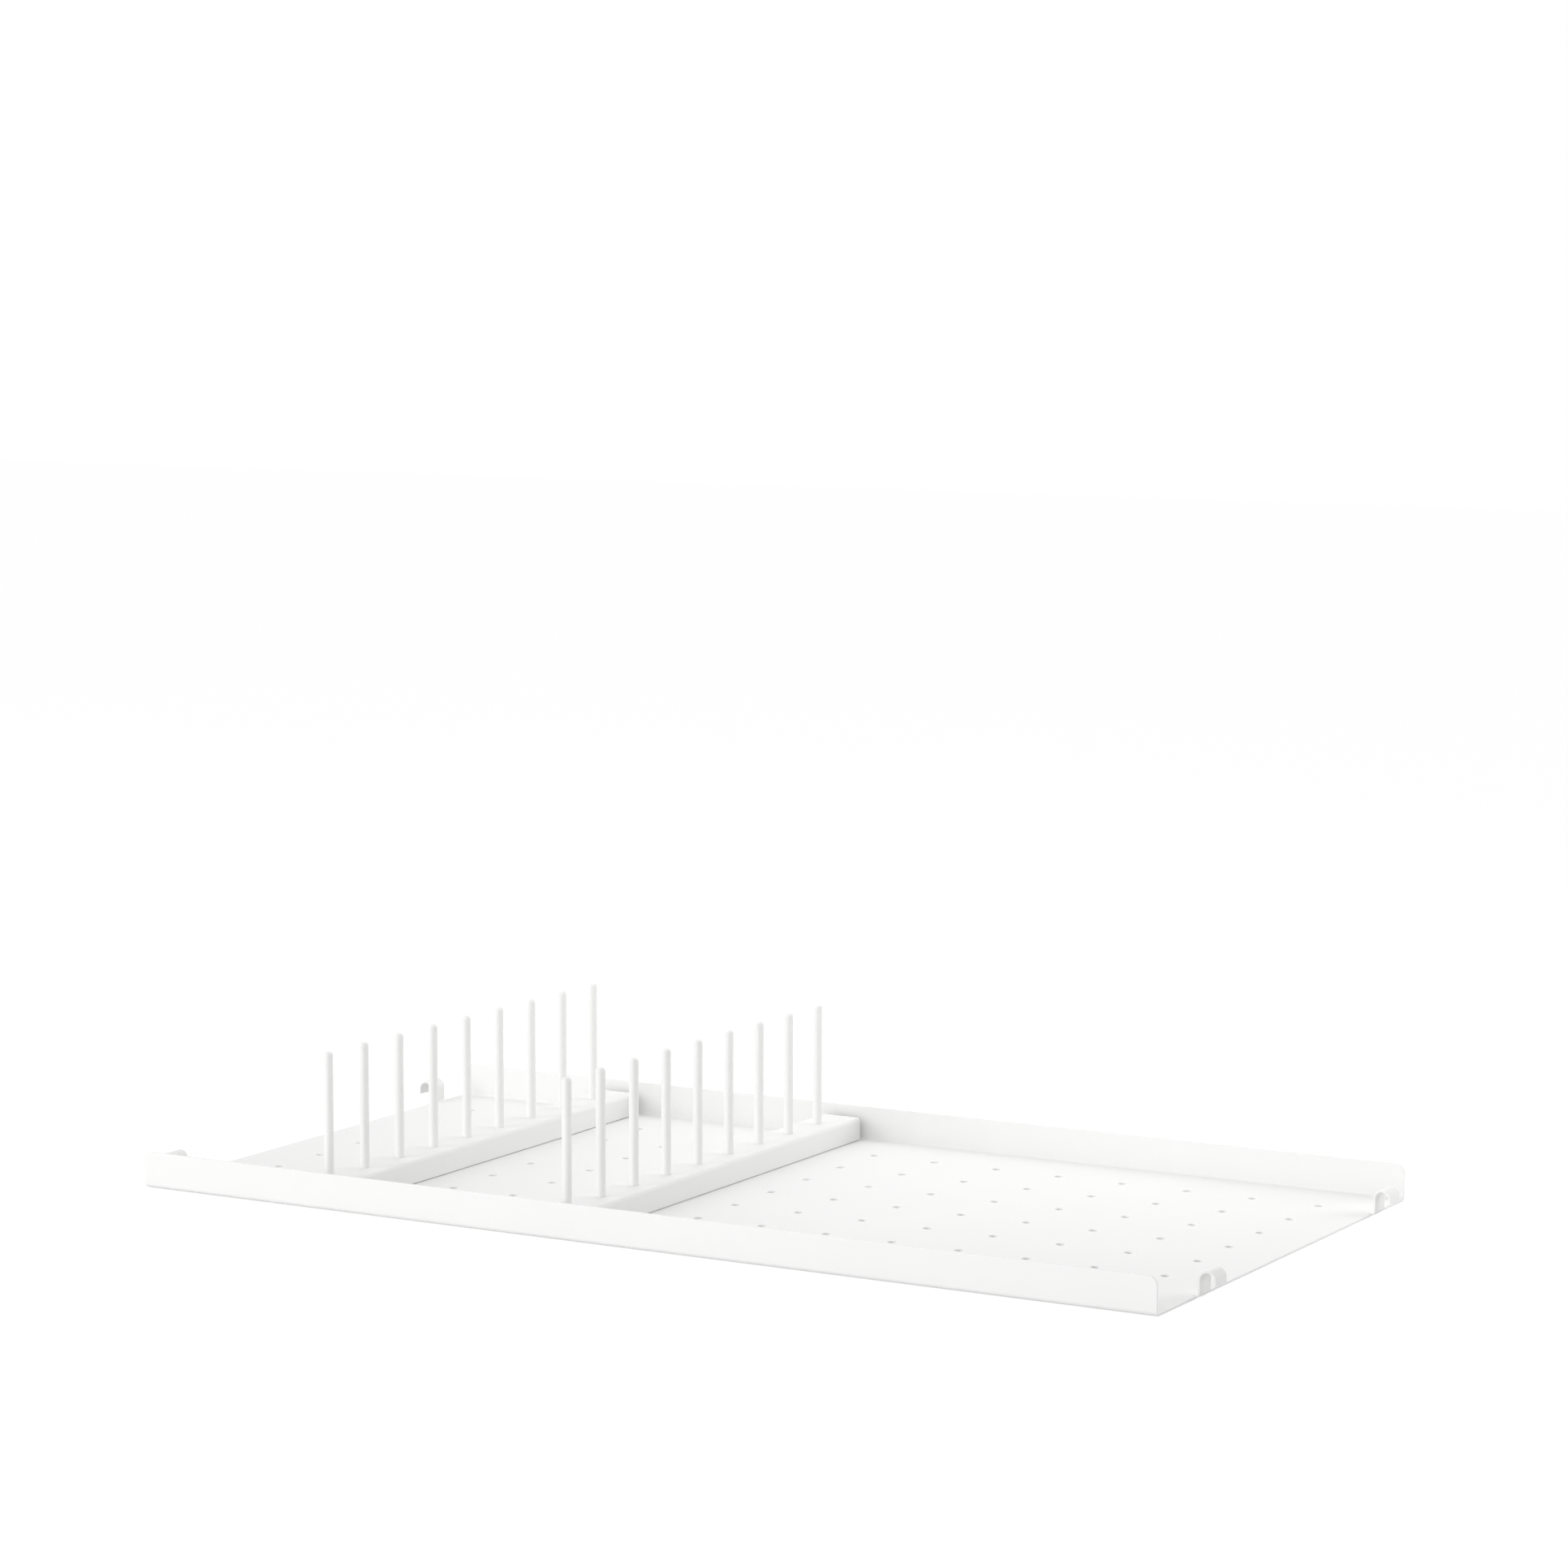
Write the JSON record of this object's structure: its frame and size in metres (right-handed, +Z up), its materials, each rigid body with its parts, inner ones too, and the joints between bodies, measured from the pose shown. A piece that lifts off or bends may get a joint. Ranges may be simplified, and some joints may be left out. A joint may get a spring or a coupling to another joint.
{
  "type": "plate rack",
  "caption": "Folded sheet-steel shelf tray with a perforated floor, end hooks for wire panels and sliding bars of upright pegs that hold plates on edge.",
  "frame": {"origin": "on the underside, below the middle of the tray", "axes": "+X to the right seen from the front, +Y to the rear, +Z up"},
  "size_m": [0.5984, 0.3, 0.0794],
  "materials": {
    "tray_paint": "satin white powder coat",
    "bar_paint": "satin white powder coat",
    "peg_paint": "satin white powder coat",
    "foot_plastic": "matt pale grey plastic"
  },
  "bodies": {
    "tray_body": {"tray": "tray_paint"},
    "bar_left_body": {"bar_left": "bar_paint", "peg_left_1": "peg_paint", "peg_left_2": "peg_paint", "peg_left_3": "peg_paint", "peg_left_4": "peg_paint", "peg_left_5": "peg_paint", "peg_left_6": "peg_paint", "peg_left_7": "peg_paint", "peg_left_8": "peg_paint", "peg_left_9": "peg_paint", "foot_left_front": "foot_plastic", "foot_left_rear": "foot_plastic"},
    "bar_right_body": {"bar_right": "bar_paint", "peg_right_1": "peg_paint", "peg_right_2": "peg_paint", "peg_right_3": "peg_paint", "peg_right_4": "peg_paint", "peg_right_5": "peg_paint", "peg_right_6": "peg_paint", "peg_right_7": "peg_paint", "peg_right_8": "peg_paint", "peg_right_9": "peg_paint", "foot_right_front": "foot_plastic", "foot_right_rear": "foot_plastic"}
  },
  "joints": [
    {"name": "bar_left_slide", "type": "slide", "parent": "tray_body", "child": "bar_left_body", "axis": [1, 0, 0], "range_m": [-0.092, 0.059]},
    {"name": "bar_right_slide", "type": "slide", "parent": "tray_body", "child": "bar_right_body", "axis": [1, 0, 0], "range_m": [-0.059, 0.313]}
  ]
}
